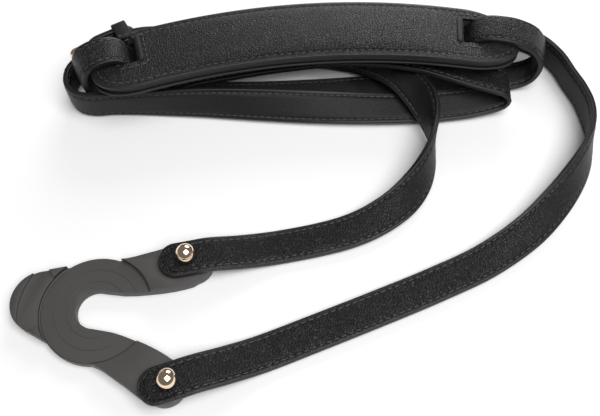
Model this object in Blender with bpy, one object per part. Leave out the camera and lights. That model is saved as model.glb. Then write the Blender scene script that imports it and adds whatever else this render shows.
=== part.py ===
"""Saxophone neck strap: a moulded U hook, two leather straps joined by a buckle, and a shoulder pad.

Lengths in the constants and routes are millimetres, with X to the right, Y away from the hook's
near side and Z up. The strap lies folded on a flat surface at Z = 0.
"""

import math

import bmesh
import bpy
from mathutils import Matrix, Vector

MM = 0.001
CENTRE = (8.96, 151.59)         # middle of the folded strap's outline, which becomes the origin
GAP = 0.3                      # air between pieces that touch

STRAP_WIDTH = 15.0
STRAP_THICK = 3.0
SKIN_THICK = 0.8               # each of the two leathers of a strap
FILLER_WIDTH = 8.0
FILLER_THICK = 0.3
STUD_FROM_END = 12.0
STATION = 14.0                 # longest facet along a strap
STATION_BEND = 12.0            # most that one facet of a strap bends, in degrees
STATION_TWIST = 8.0            # most that it twists

HOOK_AT = (-82.2, 96.3)        # middle of the hook's round seat
HOOK_TURN = -8.3               # degrees, direction in which the hook's mouth opens
PLATE_THICK = 6.0              # arms, and the crescent on the tongue
SEAT_LEVEL = 4.0               # floor of the round seat
TONGUE_LEVEL = 5.0
SEAT_RADIUS = 22.8
DISC_RADIUS = 22.4
SLOT_RADIUS = 8.2
ARM_END = (34.5, 25.5)         # stud place on the upper arm, from the seat's middle
ARM_END_RADIUS = 8.2
POST_RADIUS = 1.8
POST_HOLE_RADIUS = 1.9

STUD_A = (-46.5, 117.0)
STUD_B = (-49.5, 66.0)
BALL_RADIUS = 4.0

PAD_MIDDLE = 3.8               # across, and the crescent's ends below
PAD_ENDS_AT = 209.3
PAD_SKEW = 0.084
PAD_HALF_LENGTH = 97.0
PAD_HALF_WIDTH = 17.5
PAD_END = 24.0                 # length of the rounded end
PAD_BOW = 14.5                 # how far the crescent's middle stands out
PAD_RISE = 1.6                 # how far its middle arches up
PAD_LOW = 18.6                 # underside at the ends
PAD_SKIN = 1.5
PAD_FILL = 2.8
PAD_CROWN = 1.8
SLOT_LENGTH = 10.0
SLOT_WIDTH = 17.0
PAD_SLOTS = ((-79.6, 212.0, 16.0), (80.3, 223.6, -6.0))   # place and direction of the strap through it

BUCKLE_TURN = 30.0             # degrees, direction of the strap at the buckle
BUCKLE_BAR = (-94.3, 221.7)    # the bar that the strap is folded round
BUCKLE_LEVEL = 10.9            # middle of the strap at the buckle
BUCKLE_LENGTH = 13.0
BUCKLE_HALF_HEIGHT = 9.4
WIRE_RADIUS = 1.3
PRONG_WIDTH = 2.2
FOLD_LENGTH = 7.2
KEEPER_FROM_BAR = 12.6
KEEPER_LENGTH = 7.0
TAIL_OFFSET = 4.7              # tail's middle, outwards from the strap that it lies on

# Each route point is x, y, z of the strap's middle, then where its edge points: compass and dip in degrees.
TAIL_ROUTE = (
    (-58.3, 114.7, 7.8, -79, 0), (-46.5, 117.0, 7.8, -79, 0), (-37.0, 118.9, 7.7, -79, 0),
    (-25.0, 121.3, 4.6, -79, 0), (-10.0, 124.6, 1.8, -78, 0), (8.0, 128.4, 1.7, -76, 0),
    (22.0, 132.4, 2.2, -72, 3), (34.0, 138.0, 3.3, -62, 12), (44.5, 145.5, 5.1, -50, 28),
    (52.5, 155.0, 6.9, -35, 48), (57.5, 165.5, 8.2, -20, 68), (59.5, 175.5, 9.4, 0, 86),
    (58.9, 184.5, 11.0, 187, 72), (56.6, 193.0, 12.3, 198, 46), (52.5, 201.5, 11.4, 207, 24),
    (46.5, 210.0, 10.1, 217, 16), (37.0, 218.5, 7.2, 230, 10), (24.0, 225.0, 3.9, 245, 3),
    (5.0, 229.0, 1.7, 262, 0), (-20.0, 226.0, 1.7, 277, 0), (-45.0, 223.8, 1.7, 281, 0),
    (-64.0, 220.0, 1.7, 286, 0), (-80.0, 214.0, 1.7, 295, 0),
    # up round the pad's left end
    (-91.5, 208.0, 2.8, 297, 0), (-98.5, 204.4, 7.6, 298, 0), (-100.0, 203.6, 14.0, 298, 0),
    (-99.8, 203.5, 21.2, 298, 0), (-96.9, 204.7, 26.9, 297, 0), (-90.5, 207.4, 29.0, 294, 0),
    (-84.6, 209.8, 27.9, 290, 0), (-80.5, 211.4, 24.3, 288, 0), (-78.1, 212.3, 19.6, 287, 0),
    (-74.6, 213.6, 16.7, 286, 0), (-62.0, 217.0, 16.8, 285, -3), (-40.0, 221.6, 17.5, 282, -4),
    (0.0, 226.6, 17.8, 274, -5), (40.0, 227.2, 17.6, 266, -6), (62.0, 226.2, 17.2, 264, -6),
    (75.2, 224.8, 16.6, 264, -3), (78.8, 224.0, 19.7, 263, -2), (81.1, 223.4, 24.4, 262, 0),
    (85.4, 222.4, 27.9, 261, 0), (91.6, 221.1, 29.0, 259, 0), (99.0, 219.9, 28.3, 258, 0),
    # down round the pad's right end
    (107.8, 218.3, 24.6, 257, 0), (112.8, 217.2, 17.4, 257, 0), (112.9, 217.2, 9.4, 257, 0),
    (108.5, 216.5, 4.2, 257, 0), (100.0, 215.5, 2.0, 258, 0), (88.0, 213.9, 1.7, 260, 0),
    (70.0, 211.7, 1.7, 263, 0), (43.0, 209.3, 1.7, 265, 0), (15.0, 206.8, 1.7, 266, 0),
    (-12.0, 205.2, 1.7, 268, 0), (-32.0, 204.7, 1.7, 270, 0), (-46.0, 205.1, 1.8, 272, 0),
    # doubled back under the pad
    (-56.0, 205.6, 3.4, 274, 0), (-60.2, 206.0, 7.6, 275, 0), (-57.5, 206.6, 11.8, 276, 0),
    (-48.0, 208.8, 13.5, 278, 0), (-32.0, 212.4, 13.7, 280, 0), (-10.0, 216.3, 14.2, 278, 0),
    (15.0, 218.9, 14.6, 270, -4), (38.0, 217.8, 15.2, 262, -9), (55.0, 214.4, 15.6, 256, -10),
    (70.0, 210.6, 14.6, 254, -6), (82.0, 207.3, 13.8, 253, 2),
    # doubled back again at the front
    (91.3, 204.6, 13.1, 256, 1), (95.0, 203.6, 11.6, 261, -6), (96.6, 202.9, 8.8, 269, -9),
    (95.2, 202.1, 6.1, 276, -4), (91.4, 201.2, 4.8, 279, 4), (80.0, 198.8, 3.9, 276, 11),
    (70.0, 197.4, 3.6, 270, 13), (58.0, 196.0, 3.8, 269, 11), (42.0, 195.2, 4.0, 269, 11),
    (20.0, 194.8, 5.2, 270, 26), (0.0, 194.9, 6.3, 271, 40), (-20.0, 195.4, 7.2, 272, 52),
    (-46.0, 196.0, 8.0, 273, 68), (-70.0, 195.7, 8.2, 272, 82), (-86.0, 195.2, 8.2, 270, 89),
    # round the left end on its edge, and through the buckle
    (-96.0, 194.6, 8.2, 270, 89), (-103.0, 196.3, 8.3, 270, 89), (-107.2, 201.2, 8.6, 270, 89),
    (-107.4, 207.2, 9.6, 270, 89), (-104.9, 211.9, 10.7, 270, 89), (-101.1, 215.7, 10.9, 270, 89),
    (-99.5, 220.8, 10.9, 270, 89), (-97.2, 225.1, 10.9, 270, 89), (-92.4, 228.3, 10.9, 270, 89),
    (-86.2, 231.8, 10.9, 270, 89), (-79.8, 235.5, 10.9, 270, 89),
)

BUCKLE_ROUTE = (
    (-60.9, 62.2, 7.8, -71, 0), (-49.5, 66.0, 7.8, -71, 0), (-40.0, 69.3, 7.7, -71, 0),
    (-28.0, 73.6, 4.6, -70, 0), (-14.0, 79.0, 1.8, -69, 0), (8.0, 87.8, 1.7, -68, 0),
    (32.0, 97.6, 1.7, -67, 0), (56.0, 107.8, 1.7, -66, 0), (78.0, 118.3, 2.1, -62, 4),
    (97.0, 131.0, 3.8, -54, 17), (111.0, 144.5, 5.6, -45, 32), (121.5, 157.5, 7.1, -36, 48),
    (128.3, 169.0, 7.9, -24, 64), (131.8, 180.0, 8.2, -10, 80), (132.3, 190.5, 8.2, 0, 89),
    (130.6, 200.0, 8.2, 0, 89), (127.2, 209.0, 8.2, 0, 89), (123.0, 220.0, 8.2, 0, 89),
    (115.0, 230.0, 8.2, 0, 89), (101.0, 236.6, 8.2, 0, 89), (80.0, 240.6, 8.2, 0, 89),
    (50.0, 243.8, 8.2, 0, 89), (20.0, 244.4, 8.2, 0, 89), (0.0, 242.9, 8.2, 0, 89),
    (-25.0, 237.9, 8.2, 0, 89), (-44.0, 234.2, 8.3, 0, 89), (-58.0, 232.3, 9.0, 0, 89),
    (-69.5, 232.6, 10.2, 0, 89), (-78.7, 230.7, 10.9, 0, 89), (-84.3, 227.47, 10.9, 0, 89),
    (-90.4, 223.95, 10.9, 0, 89),
)


def place(x, y, z):
    return Vector((x - CENTRE[0], y - CENTRE[1], z)) * MM


def clear_scene():
    for obj in list(bpy.data.objects):
        bpy.data.objects.remove(obj, do_unlink=True)


def material(name, colour, roughness, metallic=0.0):
    mat = bpy.data.materials.new(name)
    mat.use_nodes = True
    shader = mat.node_tree.nodes["Principled BSDF"]
    shader.inputs["Base Color"].default_value = (*colour, 1.0)
    shader.inputs["Roughness"].default_value = roughness
    shader.inputs["Metallic"].default_value = metallic
    return mat


def make_object(name, bm, mat, smooth=0.0):
    """Turns bm into a mesh object with outward faces; smooth is the angle of a sharp edge in degrees."""
    bmesh.ops.recalc_face_normals(bm, faces=bm.faces)
    mesh = bpy.data.meshes.new(name)
    bm.to_mesh(mesh)
    bm.free()
    if smooth:
        mesh.shade_smooth()
        mesh.set_sharp_from_angle(angle=math.radians(smooth))
    mesh.materials.append(mat)
    obj = bpy.data.objects.new(name, mesh)
    bpy.context.collection.objects.link(obj)
    return obj


def set_origin(obj, spot):
    """Moves the object's origin to spot without moving its mesh."""
    obj.data.transform(Matrix.Translation(-spot))
    obj.location = spot


def cut(obj, cutter):
    """Takes cutter out of obj, as a live Boolean, and hides cutter as a tool."""
    cutter.hide_render = True
    cutter.display_type = "WIRE"
    modifier = obj.modifiers.new("cut_" + cutter.name, "BOOLEAN")
    modifier.operation = "DIFFERENCE"
    modifier.object = cutter


def block(name, middle, size, turn=0.0):
    """A box, used as a cutting tool; middle in route millimetres, turned about Z by degrees."""
    bm = bmesh.new()
    bmesh.ops.create_cube(bm, size=1.0)
    bmesh.ops.scale(bm, vec=Vector(size) * MM, verts=bm.verts)
    bmesh.ops.rotate(bm, matrix=Matrix.Rotation(math.radians(turn), 3, "Z"), verts=bm.verts)
    bmesh.ops.translate(bm, vec=place(*middle), verts=bm.verts)
    return make_object(name, bm, tool_mat)


def cylinder(name, middle, radius, low, high, sides=24):
    bm = bmesh.new()
    bmesh.ops.create_cone(bm, cap_ends=True, segments=sides, radius1=radius * MM, radius2=radius * MM,
                          depth=(high - low) * MM)
    bmesh.ops.translate(bm, vec=place(*middle, (low + high) / 2), verts=bm.verts)
    return make_object(name, bm, tool_mat)


def catmull_rom(points, i, t):
    """The curve between points i and i + 1, with the first and last points repeated."""
    a, b, c, d = (points[max(0, min(len(points) - 1, i + k))] for k in (-1, 0, 1, 2))
    return 0.5 * (2 * b + (c - a) * t + (2 * a - 5 * b + 4 * c - d) * t * t + (3 * b - a - 3 * c + d) * t ** 3)


def strap_frames(route):
    """Stations along a strap: place, direction, edge direction and outward face, in metres."""
    spots = [place(x, y, z) for x, y, z, _, _ in route]
    edges = []
    for _, _, _, compass, dip in route:
        turn, drop = math.radians(compass), math.radians(dip)
        edges.append(Vector((math.cos(drop) * math.cos(turn), math.cos(drop) * math.sin(turn), -math.sin(drop))))
    line, sides = [], []
    for i in range(len(spots) - 1):
        before = catmull_rom(spots, i, 0.1) - spots[i]
        after = spots[i + 1] - catmull_rom(spots, i, 0.9)
        bend, twist = math.degrees(before.angle(after)), math.degrees(edges[i].angle(edges[i + 1]))
        length = (spots[i + 1] - spots[i]).length / MM
        steps = math.ceil(max(length / STATION, bend / STATION_BEND, twist / STATION_TWIST))
        for k in range(steps):
            line.append(catmull_rom(spots, i, k / steps))
            sides.append(catmull_rom(edges, i, k / steps))
    line.append(spots[-1])
    sides.append(edges[-1])
    frames = []
    for k, spot in enumerate(line):
        along = (line[min(k + 1, len(line) - 1)] - line[max(k - 1, 0)]).normalized()
        edge = (sides[k] - along * sides[k].dot(along)).normalized()
        frames.append((spot, along, edge, edge.cross(along)))
    return frames


def rounded_start(frames, half):
    """Replaces the first half-width of a strap with stations that follow its round end."""
    spot, along, edge, face = frames[0]
    turned = []
    for angle in (10, 35, 60, 90):
        back = half * (1 - math.cos(math.radians(angle))) * MM
        turned.append((spot + along * back, along, edge, face, math.sin(math.radians(angle))))
    rest = [(*f, 1.0) for f in frames if (f[0] - spot).length > half * 1.15 * MM]
    return turned + rest


def ribbon(name, stations, width, low, high, mat):
    """A strip of leather along the stations, between two offsets from the strap's middle."""
    bm = bmesh.new()
    rings = []
    for spot, _, edge, face, share in stations:
        half = edge * (width / 2 * MM * share)
        rings.append([bm.verts.new(spot + side * half + face * (level * MM))
                      for side, level in ((1, low), (1, high), (-1, high), (-1, low))])
    for near, far in zip(rings, rings[1:]):
        for a, b in ((1, 2), (0, 3)):          # the broad faces split the same way in every layer
            bm.faces.new((near[a], near[b], far[b]))
            bm.faces.new((near[a], far[b], far[a]))
        for a, b in ((0, 1), (3, 2)):
            bm.faces.new((near[a], near[b], far[b], far[a]))
    bm.faces.new(rings[0])
    bm.faces.new(rings[-1])
    return make_object(name, bm, mat)


def strap(prefix, route):
    """The three layers of a strap: face leather, felt filler and lining leather."""
    frames = strap_frames(route)
    stations = rounded_start(frames, STRAP_WIDTH / 2)
    outside = STRAP_THICK / 2
    inner = outside - SKIN_THICK
    face = ribbon(prefix + "_face", stations, STRAP_WIDTH, inner, outside, leather_mat)
    lining = ribbon(prefix + "_lining", stations, STRAP_WIDTH, -outside, -inner, lining_mat)
    clear = STUD_FROM_END + 5
    middle = [(*f, 1.0) for f in frames if (f[0] - frames[0][0]).length > clear * MM
              and (f[0] - frames[-1][0]).length > 2 * GAP * MM]
    filler = ribbon(prefix + "_filler", middle, FILLER_WIDTH, -FILLER_THICK / 2, FILLER_THICK / 2, felt_mat)
    return face, filler, lining


def arc(middle, radius, start, end, steps):
    """Points of an arc, from start to end in degrees."""
    turn = [math.radians(start + (end - start) * k / steps) for k in range(steps + 1)]
    return [(middle[0] + radius * math.cos(a), middle[1] + radius * math.sin(a)) for a in turn]


def prism(name, outline, low, high, origin, turn, mat):
    """An outline in its own plane, extruded upwards and turned about Z."""
    bm = bmesh.new()
    spin = Matrix.Rotation(math.radians(turn), 2)
    base = []
    for point in outline:
        x, y = spin @ Vector(point)
        base.append(bm.verts.new(place(origin[0] + x, origin[1] + y, low)))
    face = bm.faces.new(base)
    grown = bmesh.ops.extrude_face_region(bm, geom=[face])["geom"]
    lifted = [v for v in grown if isinstance(v, bmesh.types.BMVert)]
    bmesh.ops.translate(bm, vec=(0, 0, (high - low) * MM), verts=lifted)
    return make_object(name, bm, mat)


def hook_half():
    """Upper half of the hook's outline, from the tongue's tip round the arm to the slot's back."""
    half = arc((-21.5, 0), 13.2, 180, 105, 6)
    half += arc((0, 0), DISC_RADIUS, 134, 80, 7)
    half += [(10.5, 24.2), (19.0, 28.2), (25.5, 31.6)]
    half += arc(ARM_END, ARM_END_RADIUS, 112, -62, 10)
    half += [(36.2, 16.4), (29.0, 13.3), (19.0, 10.4), (9.0, 8.4)]
    half += arc((0, 0), SLOT_RADIUS, 84, 180, 8)
    return half


def hook_plate():
    upper = hook_half()
    outline = upper + [(x, -y) for x, y in reversed(upper[1:-1])]
    plate = prism("hook_plate", outline, 0, PLATE_THICK, HOOK_AT, HOOK_TURN, plastic_mat)
    seat = cylinder("seat_cutter", HOOK_AT, SEAT_RADIUS, SEAT_LEVEL, PLATE_THICK + 3, 72)
    cut(plate, seat)
    wedge = arc((0, 0), 31.0, 148, 212, 10) + [(-10, 0)]
    cut(plate, prism("tongue_cutter", wedge, TONGUE_LEVEL, PLATE_THICK + 3, HOOK_AT, HOOK_TURN, tool_mat))
    for name, spot in (("a", STUD_A), ("b", STUD_B)):
        cut(plate, cylinder("post_cutter_" + name, spot, POST_HOLE_RADIUS, -1, PLATE_THICK + 3))
        cut(plate, cylinder("head_cutter_" + name, spot, 4.4, -1, 1.8))
    return plate


def turned(name, spot, profile, mat, steps=24):
    """A turned piece: profile is radius and height pairs, from the top down the outside."""
    bm = bmesh.new()
    line = [bm.verts.new((r * MM, 0, z * MM)) for r, z in profile]
    edges = [bm.edges.new(pair) for pair in zip(line, line[1:])]
    bmesh.ops.spin(bm, geom=line + edges, cent=(0, 0, 0), axis=(0, 0, 1), angle=math.tau, steps=steps,
                   use_merge=True)
    bmesh.ops.remove_doubles(bm, verts=bm.verts, dist=1e-6)
    obj = make_object(name, bm, mat, smooth=35)
    obj.location = place(*spot, 0)
    return obj


def ball_stud(name, spot):
    """A ball on a low foot, with a post down through the strap and the plate."""
    foot = 7.8 + STRAP_THICK / 2 + GAP
    centre = foot + BALL_RADIUS - 0.6        # the ball is flat where it meets its foot
    profile = [(0, centre + BALL_RADIUS)]
    profile += [(BALL_RADIUS * math.sin(math.radians(a)), centre + BALL_RADIUS * math.cos(math.radians(a)))
                for a in range(20, 130, 18)]
    profile += [(2.7, foot + 0.6), (3.0, foot + 0.4), (3.0, foot), (POST_RADIUS, foot), (POST_RADIUS, 2.1),
                (0, 2.1)]
    return turned(name, spot, profile, gold_mat)


def stud_screw(name, spot):
    """The screw that comes up from below, its head let into the plate; its tip meets the post."""
    profile = [(0, 1.8), (1.2, 1.8), (1.5, 1.5), (4.0, 1.5), (4.1, 1.2), (4.1, 0.4), (3.8, 0.2), (0, 0.2)]
    return turned(name, spot, profile, steel_mat)


def pad_point(u, v, level):
    """A point of the pad: u along it, v across it, level above its underside."""
    swell = 1 - (u / PAD_HALF_LENGTH) ** 2
    lean = math.radians(4.5 + 2.5 * u / PAD_HALF_LENGTH)
    x = PAD_MIDDLE + u
    y = PAD_ENDS_AT + PAD_BOW * swell + PAD_SKEW * u + v
    return place(x, y, PAD_LOW + PAD_RISE * swell - v * math.tan(lean) + level)


def pad_half_width(u, margin):
    """Half the pad's width at u; its ends are half ellipses."""
    over = max(0.0, abs(u) - (PAD_HALF_LENGTH - PAD_END)) / (PAD_END - margin)
    return (PAD_HALF_WIDTH - margin) * math.sqrt(max(0.0, 1 - over * over))


def crown(u, v):
    """Height of the soft middle over the flat, stitched border."""
    along = max(0.0, 1 - (u / 66.0) ** 4)
    across = max(0.0, 1 - (v / 15.0) ** 4)
    return PAD_CROWN * along * across


def pad_layer(name, margin, bottom, top, crowned_bottom, crowned_top, mat):
    """One layer of the pad as a closed slab, with its two slots cut through."""
    bm = bmesh.new()
    reach = PAD_HALF_LENGTH - margin
    along = [-reach, -reach + 1, -reach + 4, -reach + 10, -reach + 19, -69, -57, -40, -20, 0]
    along += [-u for u in reversed(along[:-1])]
    across = (-1.0, -0.8, -0.62, -0.3, 0.0, 0.3, 0.62, 0.8, 1.0)
    sheets = []
    for level, crowned in ((bottom, crowned_bottom), (top, crowned_top)):
        rows = []
        for u in along:
            half = max(1.5, pad_half_width(u, margin))
            rows.append([bm.verts.new(pad_point(u, half * f, level + crowned * crown(u, half * f)))
                         for f in across])
        sheets.append(rows)
    last, end = len(across) - 1, len(along) - 1
    for rows in sheets:
        for i in range(end):
            for j in range(last):
                bm.faces.new((rows[i][j], rows[i + 1][j], rows[i + 1][j + 1], rows[i][j + 1]))
    low, high = sheets
    for i in range(end):
        for j in (0, last):
            bm.faces.new((low[i][j], low[i + 1][j], high[i + 1][j], high[i][j]))
    for i in (0, end):
        for j in range(last):
            bm.faces.new((low[i][j], low[i][j + 1], high[i][j + 1], high[i][j]))
    layer = make_object(name, bm, mat)
    for k, (x, y, turn) in enumerate(PAD_SLOTS):
        grow = margin * 0.5
        size = (SLOT_LENGTH + grow, SLOT_WIDTH + grow, 16)
        cut(layer, block("%s_slot_cutter_%d" % (name, k), (x, y, 23), size, turn))
    return layer


def buckle_point(s, n, z=0.0):
    """A point near the buckle: s from its bar towards the free end, n outwards, z from the strap's middle."""
    turn = math.radians(BUCKLE_TURN)
    x = BUCKLE_BAR[0] - s * math.cos(turn) - n * math.sin(turn)
    y = BUCKLE_BAR[1] - s * math.sin(turn) + n * math.cos(turn)
    return place(x, y, BUCKLE_LEVEL + z)


def buckle_frame():
    """A rounded rectangle of round wire, standing on its side."""
    corner, steps, sides = 2.4, 4, 8
    path = []
    for s_mid, z_mid, start in ((BUCKLE_LENGTH - corner, BUCKLE_HALF_HEIGHT - corner, 0),
                                (corner * 0.5, BUCKLE_HALF_HEIGHT - corner * 0.5, 90),
                                (corner * 0.5, corner * 0.5 - BUCKLE_HALF_HEIGHT, 180),
                                (BUCKLE_LENGTH - corner, corner - BUCKLE_HALF_HEIGHT, 270)):
        reach = corner if s_mid > corner else corner * 0.5
        path += arc((s_mid, z_mid), reach, start, start + 90, steps)
    bm = bmesh.new()
    rings = []
    for k, (s, z) in enumerate(path):
        ahead, behind = Vector(path[(k + 1) % len(path)]), Vector(path[k - 1])
        out = (ahead - behind).normalized()
        ring = []
        for j in range(sides):
            angle = math.tau * j / sides
            side, lift = WIRE_RADIUS * math.cos(angle), WIRE_RADIUS * math.sin(angle)
            ring.append(bm.verts.new(buckle_point(s + out.y * side, lift, z - out.x * side)))
        rings.append(ring)
    for near, far in zip(rings, rings[1:] + rings[:1]):
        for j in range(sides):
            bm.faces.new((near[j], near[(j + 1) % sides], far[(j + 1) % sides], far[j]))
    return make_object("buckle_frame", bm, gold_mat, smooth=40)


def buckle_outline(outline, low, high, name, mat):
    """An outline of s and n near the buckle, extruded along Z."""
    bm = bmesh.new()
    base = [bm.verts.new(buckle_point(s, n, low)) for s, n in outline]
    face = bm.faces.new(base)
    grown = bmesh.ops.extrude_face_region(bm, geom=[face])["geom"]
    lifted = [v for v in grown if isinstance(v, bmesh.types.BMVert)]
    bmesh.ops.translate(bm, vec=(0, 0, (high - low) * MM), verts=lifted)
    return make_object(name, bm, mat)


def buckle_prong():
    """A finger with an open eye round the bar; its tip lies on the far side of the frame."""
    inner, outer = WIRE_RADIUS + GAP, WIRE_RADIUS + GAP + 1.1
    tip = BUCKLE_LENGTH + 1.6
    outline = [(tip - 0.3, inner + 0.9), (tip, inner + 0.5), (tip - 0.3, inner + 0.05)]
    outline += arc((0, 0), inner, 70, 320, 14)
    outline += arc((0, 0), outer, 320, 75, 14)
    return buckle_outline(outline, -PRONG_WIDTH / 2, PRONG_WIDTH / 2, "buckle_prong", gold_mat)


def buckle_fold():
    """The leather loop that holds the bar; its two legs lie either side of the strap's end."""
    inner, outer = WIRE_RADIUS + GAP, WIRE_RADIUS + GAP + 1.0
    leg_in, leg_out = STRAP_THICK / 2 + GAP, STRAP_THICK / 2 + GAP + 1.0
    outline = [(-FOLD_LENGTH, leg_out), (-3.5, leg_out)] + arc((0, 0), outer, 100, -100, 12)
    outline += [(-3.5, -leg_out), (-FOLD_LENGTH, -leg_out), (-FOLD_LENGTH, -leg_in), (-3.5, -leg_in)]
    outline += arc((0, 0), inner, -100, 100, 12) + [(-3.5, leg_in), (-FOLD_LENGTH, leg_in)]
    half = STRAP_WIDTH / 2 - 0.3
    fold = buckle_outline(outline, -half, half, "buckle_fold", leather_mat)
    slot = buckle_outline([(5, 5), (-3.2, 5), (-3.2, -5), (5, -5)], -1.7, 1.7, "fold_slot_cutter", tool_mat)
    cut(fold, slot)
    return fold


def keeper_loop():
    """A band of leather round the strap and the tail that lies on it."""
    wall, play = 1.1, 0.45
    low, high = -STRAP_THICK / 2 - play, TAIL_OFFSET + STRAP_THICK / 2 + play
    half = STRAP_WIDTH / 2 + play
    bm = bmesh.new()
    rings = []
    for s in (-KEEPER_FROM_BAR + KEEPER_LENGTH / 2, -KEEPER_FROM_BAR - KEEPER_LENGTH / 2):
        for grow in (0.0, wall):
            rings.append([bm.verts.new(buckle_point(s, n, z)) for n, z in
                          ((low - grow, -half - grow), (high + grow, -half - grow),
                           (high + grow, half + grow), (low - grow, half + grow))])
    for near, far in ((0, 1), (1, 3), (3, 2), (2, 0)):
        for k in range(4):
            bm.faces.new((rings[near][k], rings[near][(k + 1) % 4], rings[far][(k + 1) % 4], rings[far][k]))
    return make_object("keeper_loop", bm, leather_mat)


clear_scene()
leather_mat = material("black_leather", (0.016, 0.016, 0.017), 0.48)
lining_mat = material("black_lining_leather", (0.012, 0.012, 0.013), 0.6)
felt_mat = material("dark_felt", (0.03, 0.03, 0.03), 0.9)
plastic_mat = material("grey_nylon", (0.085, 0.08, 0.078), 0.55)
gold_mat = material("pale_gold_plate", (0.86, 0.74, 0.6), 0.12, 1.0)
steel_mat = material("steel", (0.5, 0.5, 0.5), 0.35, 1.0)
foam_mat = material("foam", (0.05, 0.05, 0.05), 0.9)
tool_mat = material("tool", (0.8, 0.2, 0.2), 0.5)

hook_plate()
for letter, spot in (("a", STUD_A), ("b", STUD_B)):
    ball_stud("ball_stud_" + letter, spot)
    stud_screw("stud_screw_" + letter, spot)

tail_layers = strap("tail_strap", TAIL_ROUTE)
buckle_layers = strap("buckle_strap", BUCKLE_ROUTE)
for letter, spot, layers in (("a", STUD_A, tail_layers), ("b", STUD_B, buckle_layers)):
    hole = cylinder("strap_hole_cutter_" + letter, spot, POST_HOLE_RADIUS, 5, 13, 16)
    for layer in (layers[0], layers[2]):
        cut(layer, hole)
prong_hole = buckle_outline([(0.5, 0.6), (10.5, 0.6), (10.5, 4.4), (0.5, 4.4)], -1.7, 1.7, "prong_hole_cutter",
                            tool_mat)
for layer in tail_layers:
    cut(layer, prong_hole)

face_level = PAD_SKIN + 2 * GAP + PAD_FILL
pad_layer("pad_lining", 0.0, 0.0, PAD_SKIN, 0, 0, lining_mat)
pad_layer("pad_foam", 1.5, PAD_SKIN + GAP, PAD_SKIN + GAP + PAD_FILL, 0, 1, foam_mat)
pad_layer("pad_face", 0.0, face_level, face_level + PAD_SKIN, 1, 1, leather_mat)

buckle_fold()
for piece in (buckle_frame(), buckle_prong()):
    set_origin(piece, buckle_point(0, 0))
set_origin(keeper_loop(), buckle_point(-KEEPER_FROM_BAR, TAIL_OFFSET / 2))
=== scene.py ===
import math

import bpy
import numpy as np
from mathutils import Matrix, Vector


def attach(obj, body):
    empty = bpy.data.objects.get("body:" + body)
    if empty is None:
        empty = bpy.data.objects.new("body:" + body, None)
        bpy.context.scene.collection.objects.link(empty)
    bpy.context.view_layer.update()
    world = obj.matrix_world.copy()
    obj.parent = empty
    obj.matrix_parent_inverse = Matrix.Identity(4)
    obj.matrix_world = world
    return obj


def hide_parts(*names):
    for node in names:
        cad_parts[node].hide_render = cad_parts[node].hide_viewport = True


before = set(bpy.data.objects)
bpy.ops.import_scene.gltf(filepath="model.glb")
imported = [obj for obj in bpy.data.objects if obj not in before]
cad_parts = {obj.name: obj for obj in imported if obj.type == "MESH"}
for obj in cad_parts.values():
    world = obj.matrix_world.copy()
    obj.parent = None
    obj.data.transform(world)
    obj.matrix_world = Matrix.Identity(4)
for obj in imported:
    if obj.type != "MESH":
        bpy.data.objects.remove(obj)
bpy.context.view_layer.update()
bpy.ops.object.select_all(action="DESELECT")
print("frame loaded:", len(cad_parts), "nodes")

# Lengths below are millimetres, measured like the strap routes; place() turns them into the frame's metres.
layout = {
    "centre": (8.96, 151.59),
    "hook": (-82.2, 96.3),
    "hookTurn": -8.3,
    "studs": {"a": (-46.5, 117.0), "b": (-49.5, 66.0)},
    "strapAtStuds": 7.8,
}


def place(points):
    points = np.asarray(points, dtype=float)
    return (points - (layout["centre"][0], layout["centre"][1], 0.0)) * 0.001


def smoothStep(low, high, x):
    t = np.clip((x - low) / (high - low), 0.0, 1.0)
    return t * t * (3 - 2 * t)


class Wire:
    # A socket in a material; sums and products of wires add their own Math nodes.
    def __init__(self, tree, socket):
        self.tree, self.socket = tree, socket

    def node(self, kind, settings=None, inputs=None, output=0):
        made = self.tree.nodes.new(kind)
        for key, value in (settings or {}).items():
            setattr(made, key, value)
        for key, value in (inputs or {}).items():
            if isinstance(value, Wire):
                self.tree.links.new(value.socket, made.inputs[key])
            else:
                made.inputs[key].default_value = value
        return Wire(self.tree, made.outputs[output])

    def maths(self, operation, *values):
        return self.node("ShaderNodeMath", {"operation": operation}, dict(enumerate(values)))

    def __add__(self, other):
        return self.maths("ADD", self, other)

    def __radd__(self, other):
        return self.maths("ADD", other, self)

    def __sub__(self, other):
        return self.maths("SUBTRACT", self, other)

    def __rsub__(self, other):
        return self.maths("SUBTRACT", other, self)

    def __mul__(self, other):
        return self.maths("MULTIPLY", self, other)

    def __rmul__(self, other):
        return self.maths("MULTIPLY", other, self)

    def band(self, low, high):
        return self.node("ShaderNodeMapRange", {"interpolation_type": "SMOOTHSTEP"},
                         {0: self, 1: low, 2: high, 3: 0.0, 4: 1.0})


def newMaterial(name, roughness, metallic=0.0):
    finish = bpy.data.materials.new(name)
    finish.use_nodes = True
    shader = finish.node_tree.nodes["Principled BSDF"]
    shader.inputs["Roughness"].default_value = roughness
    shader.inputs["Metallic"].default_value = metallic
    tree = finish.node_tree
    coords = tree.nodes.new("ShaderNodeTexCoord").outputs
    return finish, shader, Wire(tree, coords["Object"]), Wire(tree, coords["UV"])


def join(wire, shader, socket):
    wire.tree.links.new(wire.socket, shader.inputs[socket])


def blend(share, dark, light):
    ends = {0: share, 6: (*dark, 1.0), 7: (*light, 1.0)}
    return share.node("ShaderNodeMix", {"data_type": "RGBA"}, ends, output=2)


leatherGrain = {          # shared by the three leathers; scales are cells per metre
    "pores": 2600.0,
    "patches": 45.0,
    "creaseWidth": 0.22,
    "reliefDepth": 0.0003,
    "shine": 0.3,
}


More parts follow.
